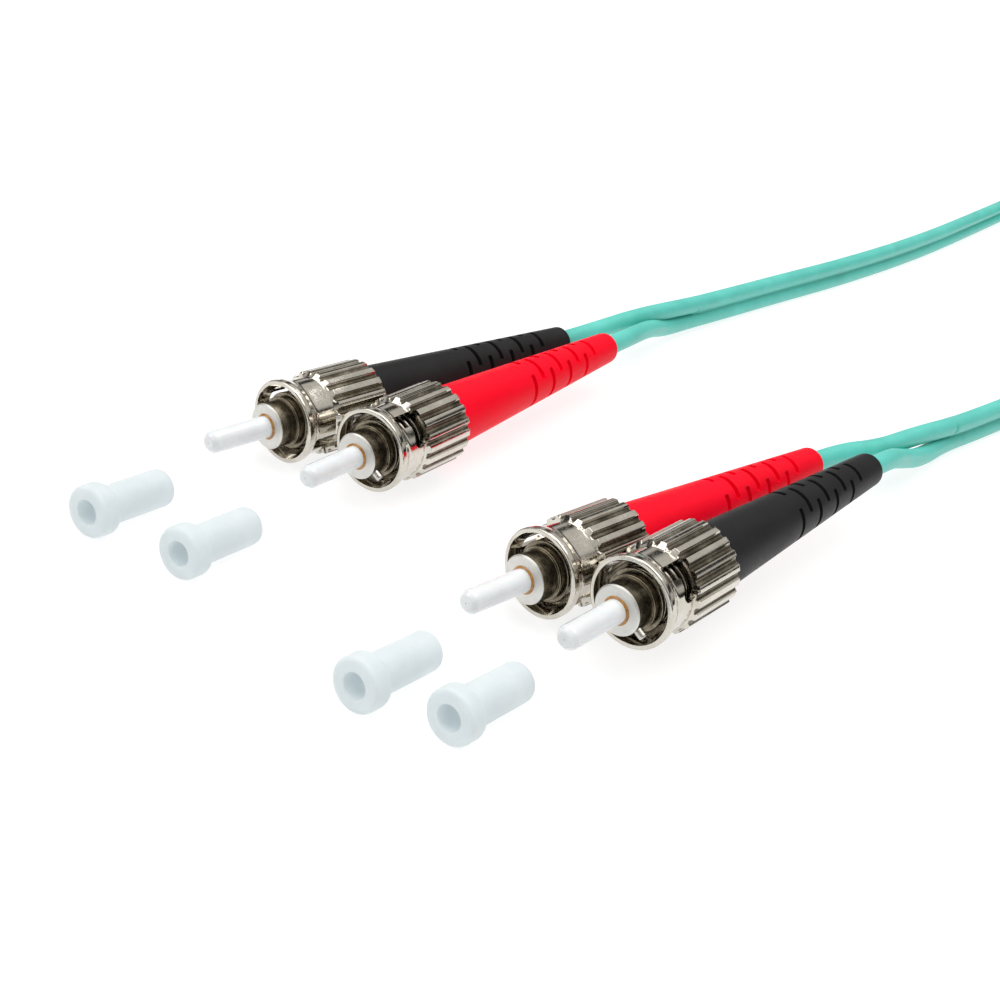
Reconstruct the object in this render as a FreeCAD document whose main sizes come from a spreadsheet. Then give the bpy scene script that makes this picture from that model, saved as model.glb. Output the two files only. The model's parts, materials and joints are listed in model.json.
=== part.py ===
import FreeCAD, Part
import math
import os
import Sketcher
from FreeCAD import Placement, Rotation, Vector

# Duplex fiber optic patch cord, four bayonet connectors, in millimetres.
# The table is z = 0.  Every connector is built along its own axis: station 0 is the ferrule tip,
# stations grow toward the cable.  Angles about the axis start straight down and turn to the left.

doc = FreeCAD.newDocument("patch_cord")
sheet = doc.addObject("Spreadsheet::Sheet", "dims")

DIMS = {
    # ferrule, fiber and holder
    "ferrule_radius": 1.25,
    "ferrule_length": 11.9,
    "ferrule_held_radius": 1.0,
    "ferrule_tip_radius": 0.85,
    "ferrule_tip_length": 0.4,
    "fiber_hole_radius": 0.0635,
    "funnel_station": 8.9,
    "funnel_radius": 0.47,
    "glass_radius": 0.0625,
    "buffer_radius": 0.45,
    "epoxy_station": 7.75,
    "epoxy_front_radius": 1.35,
    "epoxy_back_radius": 1.5,
    "holder_front": 7.9,
    "holder_face_radius": 2.45,
    "holder_chamfer_station": 8.05,
    "barrel_radius": 2.6,
    "barrel_end": 10.2,
    "collar_radius": 2.85,
    "collar_end": 10.5,
    "flange_start": 10.9,
    "flange_radius": 3.25,
    "flange_end": 11.2,
    "stem_radius": 2.2,
    "stem_end": 19.9,
    "stem_bore_radius": 0.6,
    "clip_groove_radius": 1.9,
    "clip_front": 17.3,
    "clip_back": 17.8,
    "clip_radius": 3.2,
    "clip_angle": 300.0,
    # key pin
    "pin_radius": 0.45,
    "pin_station": 8.8,
    "pin_foot": 2.0,
    "pin_reach": 3.5,
    "pin_hole_depth": 2.0,
    "front_pin_roll": 27.0,
    "rear_pin_roll": 135.0,
    # spring and thrust washer
    "spring_mean_radius": 3.0,
    "spring_wire_radius": 0.22,
    "spring_first_station": 11.42,
    "spring_pitch": 1.065,
    "spring_height": 4.26,
    "washer_bore_radius": 2.28,
    "washer_radius": 3.6,
    "washer_front": 15.9,
    "washer_back": 16.3,
    # coupling nut
    "nut_front": 10.1,
    "nut_mouth_radius": 4.3,
    "nut_mouth_end": 11.2,
    "nut_lip_station": 10.25,
    "nut_lip_end": 10.8,
    "nut_neck_start": 11.9,
    "nut_neck_end": 14.4,
    "nut_knurl_start": 14.9,
    "nut_knurl_end": 22.05,
    "nut_back": 22.2,
    "nut_lip_radius": 4.8,
    "nut_lip_edge_radius": 4.62,
    "nut_neck_radius": 4.35,
    "nut_knurl_radius": 4.9,
    "nut_knurl_edge_radius": 4.75,
    "nut_bore_radius": 3.9,
    "nut_shoulder_front": 16.33,
    "nut_shoulder_back": 17.27,
    "nut_back_bore_radius": 4.05,
    "flute_radius": 0.42,
    "flute_circle_radius": 4.92,
    "flute_start": 14.45,
    "flute_length": 7.9,
    "flute_count": 20,
    # bayonet cut-outs of the nut
    "cut_inner_radius": 3.7,
    "cut_outer_radius": 5.2,
    "lead_start": 11.4,
    "slot_start": 13.2,
    "slot_end": 14.9,
    "lead_angle": 22.0,
    "lead_centre_angle": 208.0,
    "slot_angle": 46.0,
    "slot_centre_angle": 220.0,
    "detent_radius": 0.9,
    "detent_station": 13.85,
    "detent_angle": 243.0,
    "keyway_end": 11.35,
    "keyway_radius": 4.35,
    "keyway_angle": 18.0,
    "keyway_centre_angle": 208.0,
    "rear_nut_roll": -100.0,
    # crimp body and sleeve
    "crimp_front": 18.0,
    "crimp_flange_radius": 3.0,
    "crimp_flange_end": 20.9,
    "crimp_post_radius": 1.7,
    "crimp_post_end": 26.7,
    "crimp_bore_radius": 1.0,
    "sleeve_front": 21.1,
    "sleeve_step": 26.9,
    "sleeve_small_start": 27.9,
    "sleeve_end": 33.9,
    "sleeve_inner_radius": 1.75,
    "sleeve_outer_radius": 2.15,
    "sleeve_small_outer_radius": 1.7,
    "jacket_radius": 1.3,
    "jacket_station": 28.1,
    # boot
    "boot_front": 19.4,
    "boot_step": 21.1,
    "boot_taper_start": 22.3,
    "boot_inner_end": 34.1,
    "boot_end": 60.4,
    "boot_radius": 3.78,
    "boot_end_radius": 2.1,
    "boot_bore_radius": 1.4,
    "boot_fillet": 0.35,
    "groove_floor_radius": 1.85,
    "groove_roof_radius": 4.2,
    "groove_width": 0.6,
    "near_groove_station": 40.4,
    "near_groove_step": 4.4,
    "near_groove_angle": 74.0,
    "near_groove_centre_angle": 198.0,
    "far_groove_station": 38.3,
    "far_groove_step": 4.33,
    "far_groove_angle": 134.0,
    "far_groove_centre_angle": 287.0,
    # dust cap, stations from the open face
    "cap_flange_radius": 2.72,
    "cap_flange_length": 2.1,
    "cap_tube_radius": 2.02,
    "cap_length": 10.3,
    "cap_hole_radius": 1.27,
    "cap_hole_depth": 8.2,
    "cap_rim_fillet": 0.4,
    "cap_neck_fillet": 0.5,
    "cap_end_fillet": 0.6,
    # duplex cable and its coil
    "duplex_spacing": 2.7,
    "duplex_web_half": 0.5,
    "leg_tail_end": 53.9,
    "coil_x": 141.95,
    "coil_y": 194.05,
    "coil_inner_radius": 25.4,
    "coil_outer_radius": 33.4,
    "coil_height": 10.8,
    "coil_edge": 1.2,
    # ferrule tip of each connector on the table, axis height and heading
    "a_red_x": -21.573,
    "a_red_y": -12.31,
    "a_red_z": 6.0,
    "a_red_yaw": 60.46,
    "a_black_x": -33.202,
    "a_black_y": -7.678,
    "a_black_z": 4.9,
    "a_black_yaw": 54.47,
    "b_black_x": 6.883,
    "b_black_y": -32.415,
    "b_black_z": 7.4,
    "b_black_yaw": 54.85,
    "b_red_x": -2.477,
    "b_red_y": -26.548,
    "b_red_z": 4.9,
    "b_red_yaw": 50.96,
    # open face of each dust cap and its heading
    "a_black_cap_x": -40.6,
    "a_black_cap_y": -22.6,
    "a_black_cap_yaw": 63.5,
    "a_red_cap_x": -30.3,
    "a_red_cap_y": -26.05,
    "a_red_cap_yaw": 63.5,
    "b_red_cap_x": -10.25,
    "b_red_cap_y": -39.6,
    "b_red_cap_yaw": 58.4,
    "b_black_cap_x": -1.65,
    "b_black_cap_y": -41.05,
    "b_black_cap_yaw": 57.0,
}
for row, (alias, value) in enumerate(DIMS.items(), start=1):
    sheet.set(f"A{row}", alias.replace("_", " "))
    sheet.set(f"B{row}", str(value))
    sheet.setAlias(f"B{row}", alias)
doc.recompute()

Z_AXIS = Vector(0, 0, 1)
HALF_TURN = 180.0


def dim(alias):
    """The number the sheet holds under an alias."""
    return float(sheet.get(alias))


def own_plane(body, role):
    """One of the body's own three planes."""
    return next(item for item in body.Origin.OriginFeatures if item.Role == role)


def new_sketch(body, name, role, offset=None):
    """Empty sketch on one of the body's own planes."""
    sketch = body.newObject("Sketcher::SketchObject", name)
    sketch.AttachmentSupport = [(own_plane(body, role), "")]
    sketch.MapMode = "FlatFace"
    if offset is not None:
        sketch.AttachmentOffset = offset
    return sketch


def turned_to(angle, lift=0.0):
    """Offset that turns a lengthwise sketch about the axis and lifts it off along its own normal."""
    turn = Rotation(Vector(0, 1, 0), angle)
    return Placement(turn.multVec(Vector(0, 0, lift)), turn)


def pin_point(sketch, geometry, point, across, along):
    """Hold one sketch point at expressions across and along, or on an axis where one is None."""
    for kind, expression, axis in (("DistanceX", across, -2), ("DistanceY", along, -1)):
        if expression is None:
            sketch.addConstraint(Sketcher.Constraint("PointOnObject", geometry, point, axis))
            continue
        value = float(sheet.evalExpression(expression))
        index = sketch.addConstraint(Sketcher.Constraint(kind, -1, 1, geometry, point, value))
        sketch.setExpression(f"Constraints[{index}]", expression)


def in_sheet(text):
    """Expression that reads the named cells from the sheet."""
    words = text.split(" ")
    return " ".join("dims." + word if word in DIMS else word for word in words)


def add_polygon(sketch, corners):
    """Closed outline; a corner is (radius, station) in sheet words, None on an axis."""
    first = sketch.GeometryCount
    count = len(corners)
    spots = []
    for pair in corners:
        spot = [0.0 if word is None else float(sheet.evalExpression(in_sheet(word))) for word in pair]
        spots.append(Vector(spot[0], spot[1], 0))
    for index in range(count):
        sketch.addGeometry(Part.LineSegment(spots[index], spots[(index + 1) % count]), False)
    for index in range(count):
        after = first + (index + 1) % count
        sketch.addConstraint(Sketcher.Constraint("Coincident", first + index, 2, after, 1))
    for index, (across, along) in enumerate(corners):
        across = in_sheet(across) if across else None
        along = in_sheet(along) if along else None
        pin_point(sketch, first + index, 1, across, along)


def add_circle(sketch, radius, across, along):
    """Circle with its centre held by expressions."""
    spot = [0.0 if word is None else float(sheet.evalExpression(in_sheet(word))) for word in (across, along)]
    circle = Part.Circle(Vector(spot[0], spot[1], 0), Vector(0, 0, 1), dim(radius))
    index = sketch.addGeometry(circle, False)
    across = in_sheet(across) if across else None
    along = in_sheet(along) if along else None
    pin_point(sketch, index, 3, across, along)
    hold = sketch.addConstraint(Sketcher.Constraint("Radius", index, dim(radius)))
    sketch.setExpression(f"Constraints[{hold}]", in_sheet(radius))


def turned(label, corners, angle=None):
    """Body revolved about its Z axis from an outline of (radius, station) corners."""
    body = doc.addObject("PartDesign::Body", label)
    body.Label = label
    sketch = new_sketch(body, label + "_outline", "XZ_Plane")
    add_polygon(sketch, corners)
    turn = body.newObject("PartDesign::Revolution", label + "_turn")
    turn.Profile = sketch
    turn.ReferenceAxis = (sketch, ["V_Axis"])
    if angle:
        turn.setExpression("Angle", "dims." + angle)
    return body


def add_groove(body, name, boxes, angle, centre):
    """Cut boxes of (inner, outer, start, end) swept about the axis over a centred angle."""
    sketch = new_sketch(body, name + "_outline", "XZ_Plane", turned_to(dim(centre)))
    for inner, outer, start, end in boxes:
        add_polygon(sketch, [(inner, start), (outer, start), (outer, end), (inner, end)])
    groove = body.newObject("PartDesign::Groove", name)
    groove.Profile = sketch
    groove.ReferenceAxis = (sketch, ["V_Axis"])
    groove.Midplane = True
    groove.setExpression("Angle", "dims." + angle)
    return groove


def add_pattern(body, name, features, count, axis):
    """Repeat features evenly round the axis."""
    pattern = body.newObject("PartDesign::PolarPattern", name)
    pattern.Originals = features
    pattern.Axis = axis
    pattern.Angle = 360
    pattern.Occurrences = count
    body.Tip = pattern
    return pattern


def ring_edges(shape, rings):
    """Names of the circular edges whose (radius, station) is listed."""
    names = []
    for index, edge in enumerate(shape.Edges, start=1):
        if not isinstance(edge.Curve, Part.Circle):
            continue
        spot = (edge.Curve.Radius, edge.Curve.Center.z)
        if any(abs(spot[0] - r) < 1e-4 and abs(spot[1] - z) < 1e-4 for r, z in rings):
            names.append(f"Edge{index}")
    return names


def add_fillet(body, name, rings, radius):
    """Round the listed ring edges of the newest shape."""
    doc.recompute()
    base = body.Tip
    fillet = body.newObject("PartDesign::Fillet", name)
    fillet.Base = (base, ring_edges(base.Shape, rings))
    fillet.setExpression("Radius", "dims." + radius)
    return fillet


def make_holder(label):
    """Ferrule holder with the hole of the key pin, pointing to the right of the connector."""
    body = turned(label, [
        ("ferrule_held_radius", "holder_front"),
        ("holder_face_radius", "holder_front"),
        ("barrel_radius", "holder_chamfer_station"),
        ("barrel_radius", "barrel_end"),
        ("collar_radius", "barrel_end"),
        ("collar_radius", "collar_end"),
        ("barrel_radius", "collar_end"),
        ("barrel_radius", "flange_start"),
        ("flange_radius", "flange_start"),
        ("flange_radius", "flange_end"),
        ("stem_radius", "flange_end"),
        ("stem_radius", "clip_front"),
        ("clip_groove_radius", "clip_front"),
        ("clip_groove_radius", "clip_back"),
        ("stem_radius", "clip_back"),
        ("stem_radius", "stem_end"),
        ("stem_bore_radius", "stem_end"),
        ("stem_bore_radius", "ferrule_length"),
        ("ferrule_held_radius", "ferrule_length"),
    ])
    sketch = new_sketch(body, label + "_pin_hole_outline", "XZ_Plane", turned_to(0.0, dim("pin_foot")))
    add_circle(sketch, "pin_radius", None, "pin_station")
    hole = body.newObject("PartDesign::Pocket", label + "_pin_hole")
    hole.Profile = sketch
    hole.Reversed = True
    hole.setExpression("Length", "dims.pin_hole_depth")
    return body


def make_pin(label):
    """Key pin standing out of the holder toward the right."""
    body = doc.addObject("PartDesign::Body", label)
    body.Label = label
    sketch = new_sketch(body, label + "_outline", "XZ_Plane", turned_to(0.0, dim("pin_foot")))
    add_circle(sketch, "pin_radius", None, "pin_station")
    pad = body.newObject("PartDesign::Pad", label + "_pad")
    pad.Profile = sketch
    pad.setExpression("Length", "dims.pin_reach - dims.pin_foot")
    return body


def make_spring(label):
    """Open compression spring between the holder flange and the thrust washer."""
    body = doc.addObject("PartDesign::Body", label)
    body.Label = label
    sketch = new_sketch(body, label + "_wire", "XZ_Plane")
    add_circle(sketch, "spring_wire_radius", "spring_mean_radius", "spring_first_station")
    helix = body.newObject("PartDesign::AdditiveHelix", label + "_helix")
    helix.Profile = sketch
    helix.ReferenceAxis = (sketch, ["V_Axis"])
    helix.Mode = 0
    helix.setExpression("Pitch", "dims.spring_pitch")
    helix.setExpression("Height", "dims.spring_height")
    return body


def make_nut(label):
    """Knurled coupling nut with two bayonet slots, their keyways and the flutes."""
    body = turned(label, [
        ("nut_bore_radius", "nut_mouth_end"),
        ("nut_mouth_radius", "nut_front"),
        ("nut_lip_edge_radius", "nut_front"),
        ("nut_lip_radius", "nut_lip_station"),
        ("nut_lip_radius", "nut_lip_end"),
        ("nut_neck_radius", "nut_neck_start"),
        ("nut_neck_radius", "nut_neck_end"),
        ("nut_knurl_radius", "nut_knurl_start"),
        ("nut_knurl_radius", "nut_knurl_end"),
        ("nut_knurl_edge_radius", "nut_back"),
        ("nut_back_bore_radius", "nut_back"),
        ("nut_back_bore_radius", "nut_shoulder_back"),
        ("washer_bore_radius", "nut_shoulder_back"),
        ("washer_bore_radius", "nut_shoulder_front"),
        ("nut_bore_radius", "nut_shoulder_front"),
    ])
    cut = ("cut_inner_radius", "cut_outer_radius")
    keyway = ("cut_inner_radius", "keyway_radius", "nut_front - 1", "keyway_end")
    features = [
        add_groove(body, label + "_keyway", [keyway], "keyway_angle", "keyway_centre_angle"),
        add_groove(body, label + "_lead", [cut + ("lead_start", "slot_end")], "lead_angle", "lead_centre_angle"),
        add_groove(body, label + "_slot", [cut + ("slot_start", "slot_end")], "slot_angle", "slot_centre_angle"),
    ]
    facing = turned_to(dim("detent_angle") + 90.0, dim("cut_inner_radius") - 0.7)
    sketch = new_sketch(body, label + "_detent_outline", "XZ_Plane", facing)
    add_circle(sketch, "detent_radius", None, "detent_station")
    detent = body.newObject("PartDesign::Pocket", label + "_detent")
    detent.Profile = sketch
    detent.Reversed = True
    detent.setExpression("Length", "dims.cut_outer_radius")
    features.append(detent)
    add_pattern(body, label + "_second_side", features, 2, (sketch, ["V_Axis"]))
    lift = Placement(Vector(0, 0, dim("flute_start")), Rotation())
    sketch = new_sketch(body, label + "_flute_outline", "XY_Plane", lift)
    add_circle(sketch, "flute_radius", "flute_circle_radius", None)
    flute = body.newObject("PartDesign::Pocket", label + "_flute")
    flute.Profile = sketch
    flute.Reversed = True
    flute.setExpression("Length", "dims.flute_length")
    add_pattern(body, label + "_flutes", [flute], int(dim("flute_count")), (sketch, ["N_Axis"]))
    return body


def make_boot(label):
    """Tapered strain relief boot with two groups of four bending grooves on both sides."""
    body = turned(label, [
        ("crimp_flange_radius", "boot_front"),
        ("boot_radius", "boot_front"),
        ("boot_radius", "boot_taper_start"),
        ("boot_end_radius", "boot_end"),
        ("boot_bore_radius", "boot_end"),
        ("boot_bore_radius", "boot_inner_end"),
        ("sleeve_outer_radius", "boot_inner_end"),
        ("sleeve_outer_radius", "boot_step"),
        ("crimp_flange_radius", "boot_step"),
    ])
    end_ring = [(dim("boot_end_radius"), dim("boot_end"))]
    add_fillet(body, label + "_rounded_end", end_ring, "boot_fillet")
    for group in ("near", "far"):
        boxes = []
        for index in range(4):
            start = f"{group}_groove_station + {index} * {group}_groove_step"
            boxes.append(("groove_floor_radius", "groove_roof_radius", start, start + " + groove_width"))
        angles = (f"{group}_groove_angle", f"{group}_groove_centre_angle")
        groove = add_groove(body, f"{label}_{group}_grooves", boxes, *angles)
        add_pattern(body, f"{label}_{group}_both", [groove], 2, (groove.Profile[0], ["V_Axis"]))
    return body


def make_cap(label):
    """Push-on dust cap: flange, tube and blind hole."""
    body = turned(label, [
        ("cap_hole_radius", None),
        ("cap_flange_radius", None),
        ("cap_flange_radius", "cap_flange_length"),
        ("cap_tube_radius", "cap_flange_length"),
        ("cap_tube_radius", "cap_length"),
        (None, "cap_length"),
        (None, "cap_hole_depth"),
        ("cap_hole_radius", "cap_hole_depth"),
    ])
    flange = dim("cap_flange_radius")
    shelf = dim("cap_flange_length")
    tube = dim("cap_tube_radius")
    add_fillet(body, label + "_rims", [(flange, 0.0), (flange, shelf)], "cap_rim_fillet")
    add_fillet(body, label + "_neck", [(tube, shelf)], "cap_neck_fillet")
    add_fillet(body, label + "_end", [(tube, dim("cap_length"))], "cap_end_fillet")
    return body


def cap_rest():
    """Tilt and open-face height of a cap lying on its flange rim and its tube end."""
    rim = dim("cap_rim_fillet")
    end = dim("cap_end_fillet")
    rim_s = dim("cap_flange_length") - rim
    rim_r = dim("cap_flange_radius") - rim
    run = dim("cap_length") - end - rim_s
    rise = rim_r - (dim("cap_tube_radius") - end)
    tilt = math.atan2(rise, run) - math.asin((end - rim) / math.hypot(run, rise))
    return math.degrees(tilt), rim_s * math.sin(tilt) + rim_r * math.cos(tilt) + rim


def along_connector(name, station):
    """Point on a connector's axis."""
    yaw = math.radians(dim(name + "_yaw"))
    tip = Vector(dim(name + "_x"), dim(name + "_y"), dim(name + "_z"))
    return tip + Vector(math.cos(yaw), math.sin(yaw), 0) * station


def route_wire(label, points):
    """Straight runs joined by tangent arcs, radius = 0.45 shorter run / tan(half turn)."""
    edges = []
    radii = []
    here = points[0]
    for before, corner, after in zip(points, points[1:], points[2:]):
        back = before - corner
        ahead = after - corner
        cut = 0.45 * min(back.Length, ahead.Length)
        back.normalize()
        ahead.normalize()
        half = (math.pi - back.getAngle(ahead)) / 2.0
        radius = cut / math.tan(half)
        inward = back + ahead
        inward.normalize()
        start = corner + back * cut
        end = corner + ahead * cut
        middle = corner + inward * (math.hypot(cut, radius) - radius)
        edges.append(Part.LineSegment(here, start).toShape())
        edges.append(Part.Arc(start, middle, end).toShape())
        radii.append(radius)
        here = end
    edges.append(Part.LineSegment(here, points[-1]).toShape())
    print(f"{label}: arc radii", " ".join(f"{value:.1f}" for value in radii))
    return Part.Wire(edges)


def swept(label, points, section):
    """Solid of a section carried upright along a route, with its volume compared."""
    wire = route_wire(label, points)
    shell = Part.BRepOffsetAPI.MakePipeShell(wire)
    shell.setBiNormalMode(Z_AXIS)
    shell.add(section, False, False)
    shell.build()
    shell.makeSolid()
    solid = shell.shape()
    ideal = Part.Face(section).Area * wire.Length
    print(f"{label}: length {wire.Length:.1f} volume ratio {solid.Volume / ideal:.4f}")
    return solid


def round_section(points):
    """Circle of one jacket at the start of a route."""
    circle = Part.Circle(points[0], points[1] - points[0], dim("jacket_radius"))
    return Part.Wire([circle.toShape()])


def duplex_section(points):
    """Two jackets one above the other joined by a narrow web."""
    forward = points[1] - points[0]
    forward.normalize()
    side = forward.cross(Z_AXIS)
    side.normalize()
    upward = side.cross(forward)
    radius = dim("jacket_radius")
    half = dim("duplex_spacing") / 2.0
    web = dim("duplex_web_half")
    waist = half - math.sqrt(radius * radius - web * web)
    crown = half + radius

    def spot(across, up):
        return points[0] + side * across + upward * up

    edges = [
        Part.Arc(spot(web, waist), spot(0, crown), spot(-web, waist)).toShape(),
        Part.LineSegment(spot(-web, waist), spot(-web, -waist)).toShape(),
        Part.Arc(spot(-web, -waist), spot(0, -crown), spot(web, -waist)).toShape(),
        Part.LineSegment(spot(web, -waist), spot(web, waist)).toShape(),
    ]
    return Part.Wire(edges)


FERRULE = [
    ("fiber_hole_radius", None),
    ("ferrule_tip_radius", None),
    ("ferrule_radius", "ferrule_tip_length"),
    ("ferrule_radius", "epoxy_station"),
    ("ferrule_held_radius", "epoxy_station"),
    ("ferrule_held_radius", "ferrule_length"),
    ("funnel_radius", "ferrule_length"),
    ("fiber_hole_radius", "funnel_station"),
]
EPOXY_RING = [
    ("ferrule_held_radius", "epoxy_station"),
    ("epoxy_front_radius", "epoxy_station"),
    ("epoxy_back_radius", "holder_front"),
    ("ferrule_held_radius", "holder_front"),
]
FIBER = [
    (None, None),
    ("glass_radius", None),
    ("glass_radius", "ferrule_length"),
    ("buffer_radius", "ferrule_length"),
    ("buffer_radius", "jacket_station"),
    (None, "jacket_station"),
]
WASHER = [
    ("washer_bore_radius", "washer_front"),
    ("washer_radius", "washer_front"),
    ("washer_radius", "washer_back"),
    ("washer_bore_radius", "washer_back"),
]
CLIP = [
    ("clip_groove_radius", "clip_front"),
    ("clip_radius", "clip_front"),
    ("clip_radius", "clip_back"),
    ("clip_groove_radius", "clip_back"),
]
CRIMP_BODY = [
    ("stem_radius", "crimp_front"),
    ("crimp_flange_radius", "crimp_front"),
    ("crimp_flange_radius", "crimp_flange_end"),
    ("crimp_post_radius", "crimp_flange_end"),
    ("crimp_post_radius", "crimp_post_end"),
    ("crimp_bore_radius", "crimp_post_end"),
    ("crimp_bore_radius", "stem_end"),
    ("stem_radius", "stem_end"),
]
CRIMP_SLEEVE = [
    ("sleeve_inner_radius", "sleeve_front"),
    ("sleeve_outer_radius", "sleeve_front"),
    ("sleeve_outer_radius", "sleeve_step"),
    ("sleeve_small_outer_radius", "sleeve_small_start"),
    ("sleeve_small_outer_radius", "sleeve_end"),
    ("jacket_radius", "sleeve_end"),
    ("jacket_radius", "sleeve_small_start"),
    ("sleeve_inner_radius", "sleeve_step"),
]

# Cable routes on the table, from the straight tail inside each boot to the join of the two legs,
# and from the join to the coil.
LEG_ROUTES = {
    "a_black": [(11.95, 56.05, 5.1), (16.85, 62.35, 5.0), (21.45, 68.85, 4.55)],
    "a_red": [(14.45, 54.65, 4.6), (17.15, 62.0, 2.25), (21.45, 68.85, 1.85)],
    "b_red": [(45.9, 29.75, 4.75), (51.6, 36.2, 4.75), (58.05, 43.25, 4.35)],
    "b_black": [(48.7, 28.3, 4.7), (53.1, 35.1, 2.35), (58.05, 43.25, 1.65)],
}
LEG_FIRST = {
    "a_black": (5.05, 45.95, 4.9),
    "a_red": (10.9, 45.0, 6.0),
    "b_red": (38.95, 24.65, 4.9),
    "b_black": (44.8, 21.5, 7.4),
}
DUPLEX_ROUTES = {
    "duplex_a": [
        (21.45, 68.85, 3.2),
        (27.15, 77.15, 2.85),
        (36.45, 90.05, 2.7),
        (52.0, 110.6, 2.7),
        (71.45, 138.8, 2.7),
        (94.0, 176.0, 2.75),
        (114.52, 210.53, 2.7),
    ],
    "duplex_b": [
        (58.05, 43.25, 3.0),
        (61.45, 47.25, 2.8),
        (69.15, 56.35, 2.7),
        (83.0, 72.9, 2.7),
        (108.0, 101.5, 2.7),
        (137.0, 134.5, 2.75),
        (156.0, 156.2, 4.9),
        (169.38, 177.57, 8.1),
    ],
}

pieces = []
for name in ("a_black", "a_red", "b_red", "b_black"):
    seat = Placement(along_connector(name, 0.0), Rotation(dim(name + "_yaw"), 90, 0))
    seated = [
        turned("ferrule_" + name, FERRULE),
        turned("epoxy_ring_" + name, EPOXY_RING),
        turned("fiber_" + name, FIBER),
        make_holder("ferrule_holder_" + name),
        make_pin("key_pin_" + name),
        make_spring("spring_" + name),
        turned("thrust_washer_" + name, WASHER),
        make_nut("coupling_nut_" + name),
        turned("retaining_clip_" + name, CLIP, "clip_angle"),
        turned("crimp_body_" + name, CRIMP_BODY),
        turned("crimp_sleeve_" + name, CRIMP_SLEEVE),
        make_boot("boot_" + name),
    ]
    for piece in seated:
        piece.Placement = seat
    rear = name in ("a_black", "b_red")
    pin_roll = dim("rear_pin_roll") if rear else dim("front_pin_roll")
    for piece in seated[3:5]:
        piece.Placement = seat.multiply(Placement(Vector(), Rotation(Z_AXIS, pin_roll)))
    if rear:
        seated[7].Placement = seat.multiply(Placement(Vector(), Rotation(Z_AXIS, dim("rear_nut_roll"))))
    pieces.extend(seated)
    cap = make_cap("dust_cap_" + name)
    tilt, height = cap_rest()
    spot = Vector(dim(name + "_cap_x"), dim(name + "_cap_y"), height)
    cap.Placement = Placement(spot, Rotation(dim(name + "_cap_yaw"), 90 + tilt, 0))
    pieces.append(cap)
    tail_start = along_connector(name, dim("jacket_station"))
    tail_end = along_connector(name, dim("leg_tail_end"))
    points = [tail_end] + [Vector(*LEG_FIRST[name])] + [Vector(*spot) for spot in LEG_ROUTES[name]]
    run = tail_end - tail_start
    tail = Part.makeCylinder(dim("jacket_radius"), run.Length, tail_start, run)
    leg = doc.addObject("Part::Feature", "leg_" + name)
    leg.Label = "leg_" + name
    leg.Shape = swept(leg.Label, points, round_section(points)).fuse(tail).removeSplitter()
    pieces.append(leg)

for label, route in DUPLEX_ROUTES.items():
    points = [Vector(*spot) for spot in route]
    cable = doc.addObject("Part::Feature", label)
    cable.Label = label
    cable.Shape = swept(label, points, duplex_section(points))
    pieces.append(cable)

coil = turned("coil", [
    ("coil_inner_radius + coil_edge", None),
    ("coil_outer_radius - coil_edge", None),
    ("coil_outer_radius", "coil_edge"),
    ("coil_outer_radius", "coil_height - coil_edge"),
    ("coil_outer_radius - coil_edge", "coil_height"),
    ("coil_inner_radius + coil_edge", "coil_height"),
    ("coil_inner_radius", "coil_height - coil_edge"),
    ("coil_inner_radius", "coil_edge"),
])
coil.Placement = Placement(Vector(dim("coil_x"), dim("coil_y"), 0), Rotation())
pieces.append(coil)

doc.recompute()
for item in doc.Objects:
    bad = [state for state in item.State if state in ("Invalid", "Error")]
    if bad:
        raise RuntimeError(f"{item.Label} is {bad}")

os.makedirs("parts", exist_ok=True)
for piece in pieces:
    if piece.Shape.isNull() or not piece.Shape.isValid():
        raise RuntimeError(f"{piece.Label} has no valid shape")
    if len(piece.Shape.Solids) != 1:
        raise RuntimeError(f"{piece.Label} has {len(piece.Shape.Solids)} solids")
    piece.Shape.exportStep(f"parts/{piece.Label}.step")
print(len(pieces), "pieces written")
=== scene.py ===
# %% [markdown]
# # A duplex fiber optic patch cord
# Four round bayonet connectors, their loose dust caps and one aqua two-fiber cable. The packed
# model gives every place and size in metres. This lesson dresses it: each visible piece gets a
# finer surface worked out with numpy, and each finish is a small tree of shader nodes.

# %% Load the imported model
import json
import math
import bmesh
import bpy
import numpy as np
from mathutils import Matrix, Vector


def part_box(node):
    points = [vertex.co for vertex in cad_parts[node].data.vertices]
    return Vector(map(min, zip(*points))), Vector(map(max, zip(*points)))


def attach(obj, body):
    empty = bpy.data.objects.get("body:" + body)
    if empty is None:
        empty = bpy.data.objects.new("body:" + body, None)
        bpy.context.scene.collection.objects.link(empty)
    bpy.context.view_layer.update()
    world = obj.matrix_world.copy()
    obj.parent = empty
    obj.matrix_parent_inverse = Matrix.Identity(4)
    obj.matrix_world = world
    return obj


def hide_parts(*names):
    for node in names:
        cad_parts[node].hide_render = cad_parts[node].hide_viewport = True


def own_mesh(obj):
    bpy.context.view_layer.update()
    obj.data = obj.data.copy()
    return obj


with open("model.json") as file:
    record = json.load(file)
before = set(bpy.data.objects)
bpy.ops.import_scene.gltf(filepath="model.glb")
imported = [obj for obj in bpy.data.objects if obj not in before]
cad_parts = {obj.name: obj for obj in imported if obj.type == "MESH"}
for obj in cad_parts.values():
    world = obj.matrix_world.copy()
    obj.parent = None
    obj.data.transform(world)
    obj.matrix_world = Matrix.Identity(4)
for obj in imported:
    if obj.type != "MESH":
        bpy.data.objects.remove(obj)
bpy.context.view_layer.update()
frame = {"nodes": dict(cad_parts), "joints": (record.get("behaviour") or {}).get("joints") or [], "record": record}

MM = 0.001
CONNECTORS = ("a_red", "a_black", "b_red", "b_black")

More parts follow.
